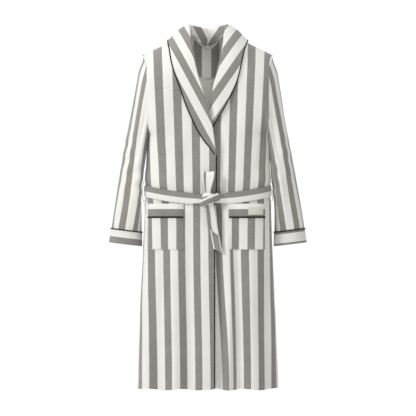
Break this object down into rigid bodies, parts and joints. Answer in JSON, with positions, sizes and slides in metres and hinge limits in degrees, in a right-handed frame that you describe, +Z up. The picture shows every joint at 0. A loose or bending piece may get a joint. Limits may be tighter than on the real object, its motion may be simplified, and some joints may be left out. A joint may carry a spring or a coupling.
{
  "type": "bathrobe",
  "caption": "Full-length wrap bathrobe in striped cloth with a shawl collar, turned cuffs, patch pockets and a tied sash.",
  "frame": {"origin": "the middle of the underside of the hanging loop's bar, outside the back below the collar, where a hook bears", "axes": "+Z up, +X towards the wearer's left, +Y towards the back"},
  "size_m": [0.6672, 0.2262, 1.2215],
  "materials": {
    "striped_cotton": "matt twill, cream with grey stripes",
    "cream_cotton": "matt plain weave",
    "black_piping": "soft satin cord",
    "woven_label": "woven tape, blank"
  },
  "bodies": {
    "robe": {"back_panel": "striped_cotton", "right_front_panel": "striped_cotton", "left_front_panel": "striped_cotton", "right_front_facing": "striped_cotton", "left_front_facing": "striped_cotton", "right_front_piping": "black_piping", "left_front_piping": "black_piping", "back_neck_facing": "striped_cotton", "back_neck_tape": "cream_cotton", "right_collar": "striped_cotton", "right_under_collar": "striped_cotton", "right_collar_piping": "black_piping", "left_collar": "striped_cotton", "left_under_collar": "striped_cotton", "left_collar_piping": "black_piping", "right_pocket": "striped_cotton", "right_pocket_band": "striped_cotton", "right_pocket_piping": "black_piping", "left_pocket": "striped_cotton", "left_pocket_band": "striped_cotton", "left_pocket_piping": "black_piping", "left_pocket_label": "woven_label", "sash_band": "striped_cotton", "sash_knot": "striped_cotton", "right_belt_loop": "striped_cotton", "left_belt_loop": "striped_cotton", "hanging_loop": "cream_cotton"},
    "right_sleeve": {"right_sleeve": "striped_cotton", "right_cuff": "striped_cotton", "right_cuff_piping": "black_piping"},
    "left_sleeve": {"left_sleeve": "striped_cotton", "left_cuff": "striped_cotton", "left_cuff_piping": "black_piping"},
    "right_skirt_flap": {"right_skirt_flap": "striped_cotton", "right_flap_facing": "striped_cotton", "right_flap_piping": "black_piping"},
    "sash_bow_loop": {"sash_bow_loop": "striped_cotton"},
    "sash_tail_front": {"sash_tail_front": "striped_cotton"},
    "sash_tail_behind": {"sash_tail_behind": "striped_cotton"}
  },
  "joints": [
    {"name": "right_sleeve_raise", "type": "hinge", "parent": "robe", "child": "right_sleeve", "pos_m": [-0.224, -0.10612, 0.025], "axis": [0, 1, 0], "range_deg": [0, 50]},
    {"name": "left_sleeve_raise", "type": "hinge", "parent": "robe", "child": "left_sleeve", "pos_m": [0.224, -0.10612, 0.025], "axis": [0, -1, 0], "range_deg": [0, 50]},
    {"name": "skirt_flap_open", "type": "hinge", "parent": "robe", "child": "right_skirt_flap", "pos_m": [0.021, -0.20923, -0.696], "axis": [-0.3531, -0.015, -0.9355], "range_deg": [0, 95]},
    {"name": "sash_bow_flop", "type": "hinge", "parent": "robe", "child": "sash_bow_loop", "pos_m": [0, -0.21146, -0.439], "axis": [1, 0, 0], "range_deg": [0, 50]},
    {"name": "sash_tail_front_swing", "type": "hinge", "parent": "robe", "child": "sash_tail_front", "pos_m": [0, -0.20787, -0.48], "axis": [-1, 0, 0], "range_deg": [0, 70]},
    {"name": "sash_tail_behind_swing", "type": "hinge", "parent": "robe", "child": "sash_tail_behind", "pos_m": [0, -0.20287, -0.48], "axis": [-1, 0, 0], "range_deg": [0, 60]}
  ],
  "couplings": [
    {"joint": "sash_tail_behind_swing", "follows": "sash_tail_front_swing", "ratio": 0.8}
  ]
}
